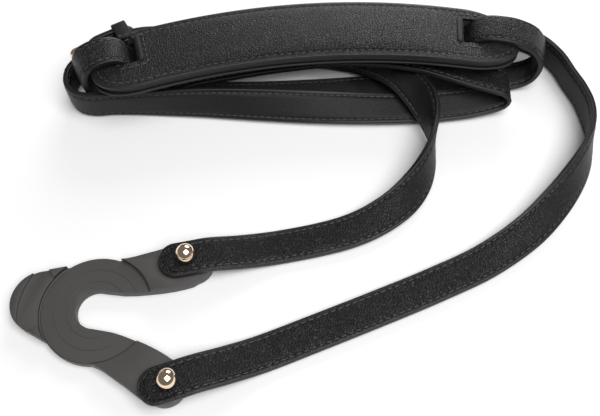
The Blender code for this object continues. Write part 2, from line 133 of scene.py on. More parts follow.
def leather(name, look):
    finish, shader, spot, sheet = newMaterial(name, look["roughness"])
    shader.inputs["Specular IOR Level"].default_value = leatherGrain["shine"]
    grain = leatherGrain
    pebbles = {"Vector": spot, "Scale": 1000.0 / look["pebble"]}
    cells = spot.node("ShaderNodeTexVoronoi", {"feature": "F1"}, pebbles)
    creases = spot.node("ShaderNodeTexVoronoi", {"feature": "DISTANCE_TO_EDGE"}, pebbles)
    fine = spot.node("ShaderNodeTexNoise", {}, {"Vector": spot, "Scale": grain["pores"], "Detail": 3.0})
    broad = spot.node("ShaderNodeTexNoise", {}, {"Vector": spot, "Scale": grain["patches"], "Detail": 2.0})
    across = sheet.node("ShaderNodeSeparateXYZ", {}, {0: sheet})      # distance in from the cut edge
    inside = across.band(look["border"] * 0.0006, look["border"] * 0.0011)
    domes = creases.band(0.0, grain["creaseWidth"]) * 0.7 + (1 - cells) * 0.3
    height = domes * (inside * 0.85 + 0.15) + fine * 0.25
    bump = spot.node("ShaderNodeBump", {},
                     {"Strength": look["relief"], "Distance": grain["reliefDepth"], "Height": height})
    join(bump, shader, "Normal")
    # painted sheen and shade: pebble tops lighter and creases darker, with broad random tone on top
    tone = blend(creases.band(0.0, 0.3) * 0.5 + broad * 0.4, look["dark"], look["light"])
    # the cut edge takes the edge colour: edge paint, set lighter also as a painted highlight along the edges
    edge = blend(inside, look["edge"], (0, 0, 0))
    paint = tone.node("ShaderNodeMix", {"data_type": "RGBA"}, {0: inside, 6: edge, 7: tone}, output=2)
    join(paint, shader, "Base Color")
    join(broad * 0.16 + (1 - inside) * -0.06 + (look["roughness"] - 0.08), shader, "Roughness")
    return finish


def plainFinish(name, look):
    # moulded plastic, plated or turned metal, thread and felt: fine grain and a slight change of tone
    finish, shader, spot, _ = newMaterial(name, look["roughness"], look.get("metallic", 0.0))
    fine = spot.node("ShaderNodeTexNoise", {}, {"Vector": spot, "Scale": look["grain"], "Detail": 4.0})
    broad = spot.node("ShaderNodeTexNoise", {}, {"Vector": spot, "Scale": 60.0, "Detail": 2.0})
    join(blend(fine * 0.6 + broad * 0.4, look["dark"], look["light"]), shader, "Base Color")
    join(fine * look["scatter"] + (look["roughness"] - look["scatter"] * 0.5), shader, "Roughness")
    bump = spot.node("ShaderNodeBump", {}, {"Strength": look["relief"], "Distance": 0.0001, "Height": fine})
    join(bump, shader, "Normal")
    return finish


# each leather's edge colour is edge paint, lighter also as a painted highlight along the cut edges
finishes = {
    # for the leathers, dark is the painted shade in the creases and light the painted sheen on the pebble
    # tops
    "strapLeather": leather("pebbled_strap_leather", {
        "pebble": 1.05, "relief": 0.9, "roughness": 0.4, "border": 1.4,
        "dark": (0.003, 0.003, 0.0032), "light": (0.01, 0.01, 0.0105), "edge": (0.012, 0.0115, 0.012)}),
    "padLeather": leather("pebbled_pad_leather", {
        "pebble": 1.15, "relief": 0.8, "roughness": 0.42, "border": 1.6,
        "dark": (0.0045, 0.0043, 0.0043), "light": (0.013, 0.0125, 0.0125), "edge": (0.016, 0.015, 0.015)}),
    "lining": leather("smooth_lining_leather", {
        "pebble": 0.6, "relief": 0.35, "roughness": 0.48, "border": 1.2,
        "dark": (0.0045, 0.0045, 0.0047), "light": (0.01, 0.01, 0.0105), "edge": (0.014, 0.0135, 0.0135)}),
    "thread": plainFinish("waxed_thread", {
        "dark": (0.02, 0.02, 0.02), "light": (0.075, 0.075, 0.075), "roughness": 0.55, "scatter": 0.2,
        "grain": 3000.0, "relief": 0.5}),
    "nylon": plainFinish("grey_nylon", {
        "dark": (0.04, 0.0375, 0.036), "light": (0.062, 0.058, 0.056), "roughness": 0.5, "scatter": 0.12,
        "grain": 2200.0, "relief": 0.2}),
    "gold": plainFinish("pale_gold_plate", {
        "dark": (0.86, 0.66, 0.47), "light": (0.94, 0.76, 0.58), "roughness": 0.1, "scatter": 0.06,
        "grain": 700.0, "relief": 0.02, "metallic": 1.0}),
    "steel": plainFinish("turned_steel", {
        "dark": (0.42, 0.42, 0.42), "light": (0.58, 0.58, 0.58), "roughness": 0.34, "scatter": 0.2,
        "grain": 1500.0, "relief": 0.05, "metallic": 1.0}),
    "felt": plainFinish("dark_felt", {
        "dark": (0.02, 0.02, 0.02), "light": (0.045, 0.045, 0.045), "roughness": 0.9, "scatter": 0.1,
        "grain": 1800.0, "relief": 0.8}),
    "foam": plainFinish("dark_foam", {
        "dark": (0.02, 0.02, 0.021), "light": (0.05, 0.05, 0.05), "roughness": 0.92, "scatter": 0.08,
        "grain": 1100.0, "relief": 0.9}),
}
print("finishes ready:", len(finishes))


def finishPiece(piece, finish, body, nodes=(), sharp=40.0):
    piece.data.materials.clear()
    piece.data.materials.append(finish)
    piece.data.shade_smooth()
    piece.data.set_sharp_from_angle(angle=math.radians(sharp))
    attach(piece, body)
    if nodes:
        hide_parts(*nodes)
    return piece


def turnOutwards(piece):
    bpy.ops.object.select_all(action="DESELECT")
    piece.select_set(True)
    bpy.context.view_layer.objects.active = piece
    bpy.ops.object.mode_set(mode="EDIT")
    bpy.ops.mesh.select_all(action="SELECT")
    bpy.ops.mesh.remove_doubles(threshold=1e-6)
    bpy.ops.mesh.normals_make_consistent(inside=False)
    bpy.ops.object.mode_set(mode="OBJECT")
    piece.select_set(False)
    return piece


def softMesh(name, spots, faces, uvs):
    mesh = bpy.data.meshes.new(name)
    mesh.from_pydata(spots.tolist(), [], faces.tolist())
    layer = mesh.uv_layers.new(name="UVMap")
    loops = np.empty(len(mesh.loops), dtype=np.int32)
    mesh.loops.foreach_get("vertex_index", loops)
    layer.data.foreach_set("uv", uvs[loops].astype(np.float32).ravel())
    piece = bpy.data.objects.new(name, mesh)
    bpy.context.collection.objects.link(piece)
    return turnOutwards(piece)


def gridFaces(rows, cols, start=0, closed=False):
    i, j = np.meshgrid(np.arange(rows - 1), np.arange(cols if closed else cols - 1), indexing="ij")
    after = (j + 1) % cols
    a = start + i * cols + j
    b = start + i * cols + after
    return np.stack([a, b, b + cols, a + cols], axis=-1).reshape(-1, 4)


def gridPiece(name, spots):
    # a grid primitive whose points are set to spots[row][column]; equal rims are then merged
    rows, cols = spots.shape[:2]
    bpy.ops.mesh.primitive_grid_add(x_subdivisions=cols - 1, y_subdivisions=rows - 1, size=1)
    piece = bpy.context.active_object
    piece.name = name
    piece.data.name = name
    piece.data.vertices.foreach_set("co", spots.reshape(-1))
    piece.data.update()
    return turnOutwards(piece)


def applyModifier(piece, kind, **settings):
    bpy.ops.object.select_all(action="DESELECT")
    piece.select_set(True)
    bpy.context.view_layer.objects.active = piece
    modifier = piece.modifiers.new(kind.lower(), kind)
    for key, value in settings.items():
        setattr(modifier, key, value)
    bpy.ops.object.modifier_apply(modifier=modifier.name)
    piece.select_set(False)


def cutAway(piece, tool):
    applyModifier(piece, "BOOLEAN", operation="DIFFERENCE", object=tool, solver="EXACT")


def removeTool(tool):
    bpy.data.objects.remove(tool, do_unlink=True)


def slabFrom(name, outline, low, high):
    # a filled outline of (x, y) points in route millimetres, extruded upwards
    bpy.ops.mesh.primitive_circle_add(vertices=len(outline), radius=1, fill_type="NGON")
    piece = bpy.context.active_object
    piece.name = name
    piece.data.name = name
    spots = place([(x, y, low) for x, y in outline])
    piece.data.vertices.foreach_set("co", spots.reshape(-1))
    bpy.ops.object.mode_set(mode="EDIT")
    bpy.ops.mesh.select_all(action="SELECT")
    bpy.ops.mesh.extrude_region_move(TRANSFORM_OT_translate={"value": (0, 0, (high - low) * 0.001)})
    bpy.ops.object.mode_set(mode="OBJECT")
    return turnOutwards(piece)


def rodTool(spot, radius, low, high, sides=64):
    where = place((spot[0], spot[1], (low + high) / 2))
    bpy.ops.mesh.primitive_cylinder_add(vertices=sides, radius=radius * 0.001, depth=(high - low) * 0.001,
                                        location=where)
    return bpy.context.active_object


def boxTool(spot, size, turn=0.0):
    bpy.ops.mesh.primitive_cube_add(size=1, location=place(spot), rotation=(0, 0, math.radians(turn)))
    tool = bpy.context.active_object
    tool.scale = Vector(size) * 0.001
    return tool


def arc(middle, radius, start, end, steps):
    turn = np.radians(np.linspace(start, end, steps + 1))
    return [(middle[0] + radius * math.cos(a), middle[1] + radius * math.sin(a)) for a in turn]


# Each route point is x, y, z of the strap's middle, then where its edge points: compass and dip in degrees.
tailRoute = (
    (-58.3, 114.7, 7.8, -79, 0), (-46.5, 117.0, 7.8, -79, 0), (-37.0, 118.9, 7.7, -79, 0),
    (-25.0, 121.3, 4.6, -79, 0), (-10.0, 124.6, 1.8, -78, 0), (8.0, 128.4, 1.7, -76, 0),
    (22.0, 132.4, 2.2, -72, 3), (34.0, 138.0, 3.3, -62, 12), (44.5, 145.5, 5.1, -50, 28),
    (52.5, 155.0, 6.9, -35, 48), (57.5, 165.5, 8.2, -20, 68), (59.5, 175.5, 9.4, 0, 86),
    (58.9, 184.5, 11.0, 187, 72), (56.6, 193.0, 12.3, 198, 46), (52.5, 201.5, 11.4, 207, 24),
    (46.5, 210.0, 10.1, 217, 16), (37.0, 218.5, 7.2, 230, 10), (24.0, 225.0, 3.9, 245, 3),
    (5.0, 229.0, 1.7, 262, 0), (-20.0, 226.0, 1.7, 277, 0), (-45.0, 223.8, 1.7, 281, 0),
    (-64.0, 220.0, 1.7, 286, 0), (-80.0, 214.0, 1.7, 295, 0),
    # up round the pad's left end
    (-91.5, 208.0, 2.8, 297, 0), (-98.5, 204.4, 7.6, 298, 0), (-100.0, 203.6, 14.0, 298, 0),
    (-99.8, 203.5, 21.2, 298, 0), (-96.9, 204.7, 26.9, 297, 0), (-90.5, 207.4, 29.0, 294, 0),
    (-84.6, 209.8, 27.9, 290, 0), (-80.5, 211.4, 24.3, 288, 0), (-78.1, 212.3, 19.6, 287, 0),
    (-74.6, 213.6, 16.7, 286, 0), (-62.0, 217.0, 16.8, 285, -3), (-40.0, 221.6, 17.5, 282, -4),
    (0.0, 226.6, 17.8, 274, -5), (40.0, 227.2, 17.6, 266, -6), (62.0, 226.2, 17.2, 264, -6),
    (75.2, 224.8, 16.6, 264, -3), (78.8, 224.0, 19.7, 263, -2), (81.1, 223.4, 24.4, 262, 0),
    (85.4, 222.4, 27.9, 261, 0), (91.6, 221.1, 29.0, 259, 0), (99.0, 219.9, 28.3, 258, 0),
    # down round the pad's right end
    (107.8, 218.3, 24.6, 257, 0), (112.8, 217.2, 17.4, 257, 0), (112.9, 217.2, 9.4, 257, 0),
    (108.5, 216.5, 4.2, 257, 0), (100.0, 215.5, 2.0, 258, 0), (88.0, 213.9, 1.7, 260, 0),
    (70.0, 211.7, 1.7, 263, 0), (43.0, 209.3, 1.7, 265, 0), (15.0, 206.8, 1.7, 266, 0),
    (-12.0, 205.2, 1.7, 268, 0), (-32.0, 204.7, 1.7, 270, 0), (-46.0, 205.1, 1.8, 272, 0),
    # doubled back under the pad
    (-56.0, 205.6, 3.4, 274, 0), (-60.2, 206.0, 7.6, 275, 0), (-57.5, 206.6, 11.8, 276, 0),
    (-48.0, 208.8, 13.5, 278, 0), (-32.0, 212.4, 13.7, 280, 0), (-10.0, 216.3, 14.2, 278, 0),
    (15.0, 218.9, 14.6, 270, -4), (38.0, 217.8, 15.2, 262, -9), (55.0, 214.4, 15.6, 256, -10),
    (70.0, 210.6, 14.6, 254, -6), (82.0, 207.3, 13.8, 253, 2),
    # doubled back again at the front
    (91.3, 204.6, 13.1, 256, 1), (95.0, 203.6, 11.6, 261, -6), (96.6, 202.9, 8.8, 269, -9),
    (95.2, 202.1, 6.1, 276, -4), (91.4, 201.2, 4.8, 279, 4), (80.0, 198.8, 3.9, 276, 11),
    (70.0, 197.4, 3.6, 270, 13), (58.0, 196.0, 3.8, 269, 11), (42.0, 195.2, 4.0, 269, 11),
    (20.0, 194.8, 5.2, 270, 26), (0.0, 194.9, 6.3, 271, 40), (-20.0, 195.4, 7.2, 272, 52),
    (-46.0, 196.0, 8.0, 273, 68), (-70.0, 195.7, 8.2, 272, 82), (-86.0, 195.2, 8.2, 270, 89),
    # round the left end on its edge, and through the buckle
    (-96.0, 194.6, 8.2, 270, 89), (-103.0, 196.3, 8.3, 270, 89), (-107.2, 201.2, 8.6, 270, 89),
    (-107.4, 207.2, 9.6, 270, 89), (-104.9, 211.9, 10.7, 270, 89), (-101.1, 215.7, 10.9, 270, 89),
    (-99.5, 220.8, 10.9, 270, 89), (-97.2, 225.1, 10.9, 270, 89), (-92.4, 228.3, 10.9, 270, 89),
    (-86.2, 231.8, 10.9, 270, 89), (-79.8, 235.5, 10.9, 270, 89),
)
buckleRoute = (
    (-60.9, 62.2, 7.8, -71, 0), (-49.5, 66.0, 7.8, -71, 0), (-40.0, 69.3, 7.7, -71, 0),
    (-28.0, 73.6, 4.6, -70, 0), (-14.0, 79.0, 1.8, -69, 0), (8.0, 87.8, 1.7, -68, 0),
    (32.0, 97.6, 1.7, -67, 0), (56.0, 107.8, 1.7, -66, 0), (78.0, 118.3, 2.1, -62, 4),
    (97.0, 131.0, 3.8, -54, 17), (111.0, 144.5, 5.6, -45, 32), (121.5, 157.5, 7.1, -36, 48),
    (128.3, 169.0, 7.9, -24, 64), (131.8, 180.0, 8.2, -10, 80), (132.3, 190.5, 8.2, 0, 89),
    (130.6, 200.0, 8.2, 0, 89), (127.2, 209.0, 8.2, 0, 89), (123.0, 220.0, 8.2, 0, 89),
    (115.0, 230.0, 8.2, 0, 89), (101.0, 236.6, 8.2, 0, 89), (80.0, 240.6, 8.2, 0, 89),
    (50.0, 243.8, 8.2, 0, 89), (20.0, 244.4, 8.2, 0, 89), (0.0, 242.9, 8.2, 0, 89),
    (-25.0, 237.9, 8.2, 0, 89), (-44.0, 234.2, 8.3, 0, 89), (-58.0, 232.3, 9.0, 0, 89),
    (-69.5, 232.6, 10.2, 0, 89), (-78.7, 230.7, 10.9, 0, 89), (-84.3, 227.47, 10.9, 0, 89),
    (-90.4, 223.95, 10.9, 0, 89),
)

class Route:
    # a strap's middle line, sampled closely, with its edge and face directions
    def __init__(self, points, steps=16):
        compass, dip = np.radians([p[3] for p in points]), np.radians([p[4] for p in points])
        flat = np.cos(dip)
        edges = np.stack([flat * np.cos(compass), flat * np.sin(compass), -np.sin(dip)], axis=1)
        line = self.curve(np.array([p[:3] for p in points], dtype=float), steps)
        edges = self.curve(edges, steps)
        along = self.unit(np.gradient(line, axis=0))
        self.line, self.along = line, along
        self.edge = self.unit(edges - along * np.sum(edges * along, axis=1, keepdims=True))
        self.face = np.cross(self.edge, along)
        self.at = np.concatenate([[0.0], np.cumsum(np.linalg.norm(np.diff(line, axis=0), axis=1))])
        self.length = self.at[-1]

    @staticmethod
    def unit(vectors):
        return vectors / np.linalg.norm(vectors, axis=-1, keepdims=True)

    @staticmethod
    def curve(points, steps):
        ends = np.concatenate([points[:1], points, points[-1:]])
        t = np.arange(steps)[:, None] / steps
        parts = []
        for a, b, c, d in zip(ends, ends[1:], ends[2:], ends[3:]):
            parts.append(0.5 * (2 * b + (c - a) * t + (2 * a - 5 * b + 4 * c - d) * t ** 2
                                + (3 * b - a - 3 * c + d) * t ** 3))
        return np.concatenate(parts + [points[-1:]])

    def read(self, values, s):
        return np.stack([np.interp(s, self.at, values[:, k]) for k in range(3)], axis=-1)

    def wrap(self, s, v, n):
        # s along the strap, v across it towards its edge, n out from its middle
        edge, face = self.unit(self.read(self.edge, s)), self.unit(self.read(self.face, s))
        return place(self.read(self.line, s) + edge * v[..., None] + face * n[..., None])


strapMake = {
    "half": 7.5,
    "outside": 1.5,          # from the strap's middle to its outer side
    "skinStart": 0.04,
    "side": 0.7,             # height of the cut edge before it rounds over
    "roll": 0.55,
    "border": 1.2,
    "stitchIn": 1.95,        # from the edge to the stitches
    "groove": 0.2,
    "rowStep": 2.0,
    "endStep": 0.6,
    "stitchPitch": 3.2,
}


def skinHeight(inFromEdge):
    m = strapMake
    rise = np.sqrt(np.clip(1 - (1 - np.clip(inFromEdge / m["roll"], 0, 1)) ** 2, 0, 1))
    top = m["side"] + (m["border"] - m["side"]) * rise
    top = top + (m["outside"] - m["border"]) * smoothStep(m["stitchIn"], m["stitchIn"] + 1.3, inFromEdge)
    return top - m["groove"] * np.exp(-((inFromEdge - m["stitchIn"]) / 0.32) ** 2)


def strapRows(length, half):
    ends = np.arange(0, half + 4, strapMake["endStep"])
    middle = np.linspace(ends[-1], length - ends[-1], int((length - 2 * ends[-1]) / strapMake["rowStep"]))
    return np.concatenate([ends, middle[1:-1], length - ends[::-1]])


def flatStrap(route, half):
    # s and v of a strap cut with round ends, and each point's distance from the cut edge
    columns = np.array([0, 0.05, 0.18, 0.38, 0.6, 0.95, 1.3, 1.6, 1.8, 1.95, 2.1, 2.3, 2.7, 3.2, 4.2, 5.6])
    v = np.concatenate([columns - half, [0.0], (half - columns)[::-1]])
    rows = strapRows(route.length, half)
    s, v = np.meshgrid(rows, v, indexing="ij")
    back = half - np.sqrt(np.clip(half ** 2 - v ** 2, 0, None))
    reach = half + 4.0
    fromStart, fromEnd = np.clip(1 - s / reach, 0, 1), np.clip(1 - (route.length - s) / reach, 0, 1)
    s = s + back * (fromStart - fromEnd)
    near = np.where(s < half, half - np.hypot(np.clip(half - s, 0, None), v), half - np.abs(v))
    tip = route.length - s
    near = np.where(tip < half, half - np.hypot(np.clip(half - tip, 0, None), v), near)
    return s, v, np.clip(near, 0, None)


def slabOn(name, route, s, v, near, low, high):
    # a closed slab between two heights over the same flat grid
    rows, cols = s.shape
    top, bottom = route.wrap(s, v, high), route.wrap(s, v, low)
    spots = np.concatenate([top.reshape(-1, 3), bottom.reshape(-1, 3)])
    count = rows * cols
    upper = gridFaces(rows, cols)
    lower = gridFaces(rows, cols, count)[:, ::-1]
    index = np.arange(count).reshape(rows, cols)
    rim = np.concatenate([index[0, :], index[1:, -1], index[-1, -2::-1], index[-2:0:-1, 0]])
    ahead = np.roll(rim, -1)
    wall = np.stack([rim, ahead, ahead + count, rim + count], axis=-1)
    uv = np.stack([near.reshape(-1), s.reshape(-1)], axis=-1) * 0.001
    return softMesh(name, spots, np.concatenate([upper, lower, wall]), np.concatenate([uv, uv]))


stitchShape = {"length": 2.35, "width": 0.5, "height": 0.34}


def stitchRow(name, middles, along, out, finish, body):
    # one rounded stitch, copied along a row, each lying on the leather
    sides, rings = 6, ((-0.5, 0.0), (-0.44, 0.62), (-0.2, 1.0), (0.2, 1.0), (0.44, 0.62), (0.5, 0.0))
    turn = np.arange(sides) * math.tau / sides
    shape = []
    for step, share in rings[1:-1]:
        for a in turn:
            shape.append((step * stitchShape["length"], share * math.cos(a) * stitchShape["width"] / 2,
                          share * math.sin(a) * stitchShape["height"] / 2))
    shape.append((rings[0][0] * stitchShape["length"], 0, 0))
    shape.append((rings[-1][0] * stitchShape["length"], 0, 0))
    shape = np.array(shape) * 0.001
    faces = gridFaces(4, sides, closed=True).tolist()
    first, last, low = 4 * sides, 4 * sides + 1, 3 * sides
    for j in range(sides):
        faces.append([first, (j + 1) % sides, j])
        faces.append([last, low + j, low + (j + 1) % sides])
    beside = np.cross(out, along)
    spots = (middles[:, None, :] + shape[None, :, :1] * along[:, None, :]
             + shape[None, :, 1:2] * beside[:, None, :] + shape[None, :, 2:] * out[:, None, :])
    allFaces = [[q + k * len(shape) for q in face] for k in range(len(middles)) for face in faces]
    mesh = bpy.data.meshes.new(name)
    mesh.from_pydata(spots.reshape(-1, 3).tolist(), [], allFaces)
    piece = bpy.data.objects.new(name, mesh)
    bpy.context.collection.objects.link(piece)
    return finishPiece(turnOutwards(piece), finish, body, sharp=70)


def strapStitches(name, route, side, starts=15.0):
    m = strapMake
    s = np.arange(starts, route.length - 9.0, m["stitchPitch"])
    middles, along, out = [], [], []
    for across in (-(m["half"] - m["stitchIn"]), m["half"] - m["stitchIn"]):
        v = np.full_like(s, across)
        n = np.full_like(s, side * (m["border"] - 0.02))
        middles.append(route.wrap(s, v, n))
        ahead = route.wrap(s + 0.5, v, n) - route.wrap(s - 0.5, v, n)
        along.append(route.unit(ahead))
        out.append(route.unit(route.read(route.face, s)) * side)
    along, out = np.concatenate(along), np.concatenate(out)
    out = route.unit(out - along * np.sum(out * along, axis=1, keepdims=True))
    return stitchRow(name, np.concatenate(middles), along, out, finishes["thread"], "strap_assembly")


def makeStrap(prefix, route, stud, extraTools=()):
    half = strapMake["half"]
    s, v, near = flatStrap(route, half)
    face = slabOn(prefix + "_face_leather", route, s, v, near, np.full_like(s, strapMake["skinStart"]),
                  skinHeight(near))
    lining = slabOn(prefix + "_lining_leather", route, s, v, near, -skinHeight(near),
                    np.full_like(s, -strapMake["skinStart"]))
    hole = rodTool(stud, 1.9, 5, 13)
    for skin in (face, lining):
        for tool in (hole, *extraTools):
            cutAway(skin, tool)
    removeTool(hole)
    finishPiece(face, finishes["strapLeather"], "strap_assembly", (prefix + "_face",))
    finishPiece(lining, finishes["lining"], "strap_assembly",
                (prefix + "_lining", prefix + "_filler"))
    strapStitches(prefix + "_face_stitches", route, 1)
    strapStitches(prefix + "_lining_stitches", route, -1)
    print(prefix, "length %.1f mm" % route.length)


tail, buckle = Route(tailRoute), Route(buckleRoute)


# The buckle has its own directions: s towards its free end, n outwards and z up.
buckleMake = {
    "turn": 30.0,            # degrees, direction of the strap at the buckle
    "bar": (-94.3, 221.7),
    "level": 10.9,
    "length": 13.0,
    "halfHeight": 9.4,
    "wire": 1.3,             # radius
    "keeperFromBar": 12.6,
    "keeperLength": 7.0,
    "tailOffset": 4.7,
    "foldLength": 7.2,
}


def buckleSpot(s, n, z=0.0):
    turn = math.radians(buckleMake["turn"])
    return (buckleMake["bar"][0] - s * math.cos(turn) - n * math.sin(turn),
            buckleMake["bar"][1] - s * math.sin(turn) + n * math.cos(turn), buckleMake["level"] + z)


def buckleSlab(name, outline, low, high):
    piece = slabFrom(name, [buckleSpot(s, n)[:2] for s, n in outline], buckleMake["level"] + low,
                     buckleMake["level"] + high)
    return piece


prongTool = buckleSlab("prong_hole", [(-0.2, 0.4), (11.6, 0.4), (11.6, 4.6), (-0.2, 4.6)], -1.9, 1.9)
makeStrap("tail_strap", tail, layout["studs"]["a"], (prongTool,))
makeStrap("buckle_strap", buckle, layout["studs"]["b"])
removeTool(prongTool)


padMake = {
    "middle": 3.8, "endsAt": 209.3, "skew": 0.084, "bow": 14.5, "rise": 1.6, "low": 18.6,
    "halfLength": 97.0, "halfWidth": 17.5, "end": 24.0,
    "skin": 1.5, "fill": 3.4, "crown": 1.8,
    "stitchIn": 3.0, "stitchPitch": 3.3,
    "slots": ((-79.6, 212.0, 16.0, 1), (80.3, 223.6, -6.0, -1)),
    "slotLength": 10.0, "slotWidth": 16.0,
}


def padSpot(u, v, level):
    m = padMake
    swell = 1 - (u / m["halfLength"]) ** 2
    lean = np.radians(4.5 + 2.5 * u / m["halfLength"])
    x = m["middle"] + u
    y = m["endsAt"] + m["bow"] * swell + m["skew"] * u + v
    z = m["low"] + m["rise"] * swell - v * np.tan(lean) + level
    return place(np.stack(np.broadcast_arrays(x, y, z), axis=-1))


def padRings(margin, depths):
    # rings inwards from the pad's outline, and each point's distance from that outline
    m = padMake
    wide, end, start = m["halfWidth"] - margin, m["end"] - margin, m["halfLength"] - m["end"]
    swing = np.radians(np.linspace(-90, 90, 41))
    straight = np.linspace(start, -start, 74)[1:-1]
    reach = 1 / np.sqrt((np.cos(swing) / end) ** 2 + (np.sin(swing) / wide) ** 2)
    ones, none = np.ones_like(straight), np.zeros_like(straight)
    right, left = np.full_like(swing, start), np.full_like(swing, -start)
    middles = np.concatenate([right, straight, left, straight[::-1]])
    dirs = np.concatenate([np.stack([np.cos(swing), np.sin(swing)], -1), np.stack([none, ones], -1),
                           np.stack([-np.cos(swing), -np.sin(swing)], -1), np.stack([none, -ones], -1)])
    reach = np.concatenate([reach, ones * wide, reach, ones * wide])
    rows = []
    for depth in depths:
        rest = reach - depth if depth <= 8 else (reach - 8) * (wide - depth) / (wide - 8)
        rows.append(np.stack([middles + dirs[:, 0] * rest, dirs[:, 1] * rest], axis=-1))
    rings = np.array(rows)
    near = np.array(depths, dtype=float)[:, None] + np.zeros_like(rings[..., 0])
    return rings[..., 0], rings[..., 1], near


def padPillow(u, near):
    # the soft middle rises in a round shoulder from the flat, stitched border
    along = np.clip(1 - (u / 68.0) ** 4, 0, None)
    p = np.clip((near - padMake["stitchIn"] - 0.3) / 5.5, 0, 1)
    shoulder = np.sqrt(np.clip(1 - (1 - p) ** 2, 0, 1))
    return padMake["crown"] * along * (0.78 * shoulder + 0.22 * smoothStep(3, 17, near))


def padTop(u, near):
    m = padMake
    roll = np.sqrt(np.clip(1 - (1 - np.clip(near / 0.9, 0, 1)) ** 2, 0, 1))
    groove = 0.28 * np.exp(-((near - m["stitchIn"]) / 0.42) ** 2)
    return m["skin"] + m["fill"] + 0.75 + (m["skin"] - 0.75) * roll - groove + padPillow(u, near)


def padSlab(name, margin, depths, low, high):
    u, v, near = padRings(margin, depths)
    rings, around = u.shape
    top, bottom = padSpot(u, v, high(u, near)), padSpot(u, v, low(u, near))
    count = rings * around
    upper = gridFaces(rings, around, closed=True)
    lower = gridFaces(rings, around, count, closed=True)[:, ::-1]
    index = np.arange(around)
    ahead = (index + 1) % around
    wall = np.stack([index, index + count, ahead + count, ahead], axis=-1)
    spots = np.concatenate([top.reshape(-1, 3), bottom.reshape(-1, 3)])
    uv = np.stack([near.reshape(-1), u.reshape(-1)], axis=-1) * 0.001
    return softMesh(name, spots, np.concatenate([upper, lower, wall]), np.concatenate([uv, uv]))


# distances in from the edge at which each layer's rings lie, closest where it rounds over and at its stitches
padDepths = {
    "top": (0, 0.04, 0.15, 0.35, 0.6, 0.95, 1.5, 2.1, 2.5, 2.75, 3.0, 3.25, 3.5, 3.8, 4.3, 5.0, 5.9, 7.0, 8.5,
            10.5, 13.0, 15.3, 17.5),
    "foam": (0, 0.1, 0.4, 1.0, 2.5, 3.2, 4.5, 6.5, 9.0, 12.5, 16.2),
    "lining": (0, 0.04, 0.15, 0.4, 0.8, 1.5, 2.6, 3.0, 3.4, 5.0, 9.0, 13.0, 17.5),
}
padFace = padSlab(
    "pad_top_leather", 0.0, padDepths["top"],
    lambda u, near: padMake["skin"] + padMake["fill"] + 0.05 + padPillow(u, near) * 0.98, padTop)
padFoam = padSlab("pad_foam_sheet", 1.3, padDepths["foam"],
                  lambda u, near: padMake["skin"] + 0.1 + 0 * u,
                  lambda u, near: padMake["skin"] + padMake["fill"] - 0.05 - 0.5 * (near < 0.05)
                  + padPillow(u, near + 1.3) * 0.9)
padLining = padSlab("pad_lining_leather", 0.0, padDepths["lining"],
                    lambda u, near: 0.45 * (1 - np.clip(near / 0.8, 0, 1)) ** 2
                    + 0.2 * np.exp(-((near - 3.0) / 0.4) ** 2),
                    lambda u, near: padMake["skin"] - 0.25 * (1 - np.clip(near / 0.4, 0, 1)) ** 2)
for x, y, turn, _ in padMake["slots"]:
    slotTool = boxTool((x, y, 23), (padMake["slotLength"], padMake["slotWidth"], 16), turn)
    for layer in (padFace, padFoam, padLining):
        cutAway(layer, slotTool)
    removeTool(slotTool)
finishPiece(padFace, finishes["padLeather"], "strap_assembly", ("pad_face",), sharp=50)
finishPiece(padFoam, finishes["foam"], "strap_assembly", ("pad_foam",), sharp=50)
finishPiece(padLining, finishes["lining"], "strap_assembly", ("pad_lining",),
            sharp=50)
print("pad", round(2 * padMake["halfLength"]), "by", round(2 * padMake["halfWidth"]), "mm")


def padDepth(u, v):
    # distance in from the pad's outline, by the same rule as the rings
    m = padMake
    start = m["halfLength"] - m["end"]
    over = np.clip(np.abs(u) - start, 0, None)
    swing = np.arctan2(v, np.maximum(over, 1e-6))
    reach = 1 / np.sqrt((np.cos(swing) / m["end"]) ** 2 + (np.sin(swing) / m["halfWidth"]) ** 2)
    return np.where(over > 0, reach - np.hypot(over, v), m["halfWidth"] - np.abs(v))


def padSurface(x, y):
    # a point on the top leather over a place given in route millimetres
    m = padMake
    u = np.asarray(x) - m["middle"]
    v = np.asarray(y) - (m["endsAt"] + m["bow"] * (1 - (u / m["halfLength"]) ** 2) + m["skew"] * u)
    return padSpot(u, v, padTop(u, padDepth(u, v)))


def resample(line, pitch):
    gaps = np.linalg.norm(np.diff(line, axis=0), axis=1)
    at = np.concatenate([[0.0], np.cumsum(gaps)])
    spots = np.arange(0.5 * pitch, at[-1], pitch)
    return np.stack([np.interp(spots, at, line[:, k]) for k in range(line.shape[1])], axis=-1)


def padStitches(name, lines):
    middles, along = [], []
    for line in lines:
        near = resample(line, padMake["stitchPitch"])
        ahead = np.gradient(near, axis=0)
        middles.append(padSurface(near[:, 0], near[:, 1]))
        step = ahead / np.linalg.norm(ahead, axis=1, keepdims=True) * 0.4
        along.append(Route.unit(padSurface(near[:, 0] + step[:, 0], near[:, 1] + step[:, 1])
                                - padSurface(near[:, 0] - step[:, 0], near[:, 1] - step[:, 1])))
    middles, along = np.concatenate(middles), np.concatenate(along)
    out = np.tile(Route.unit(np.array([0.0, 0.09, 1.0])), (len(along), 1))
    out = Route.unit(out - along * np.sum(out * along, axis=1, keepdims=True))
    return stitchRow(name, middles + out * 0.00012, along, out, finishes["thread"], "strap_assembly")


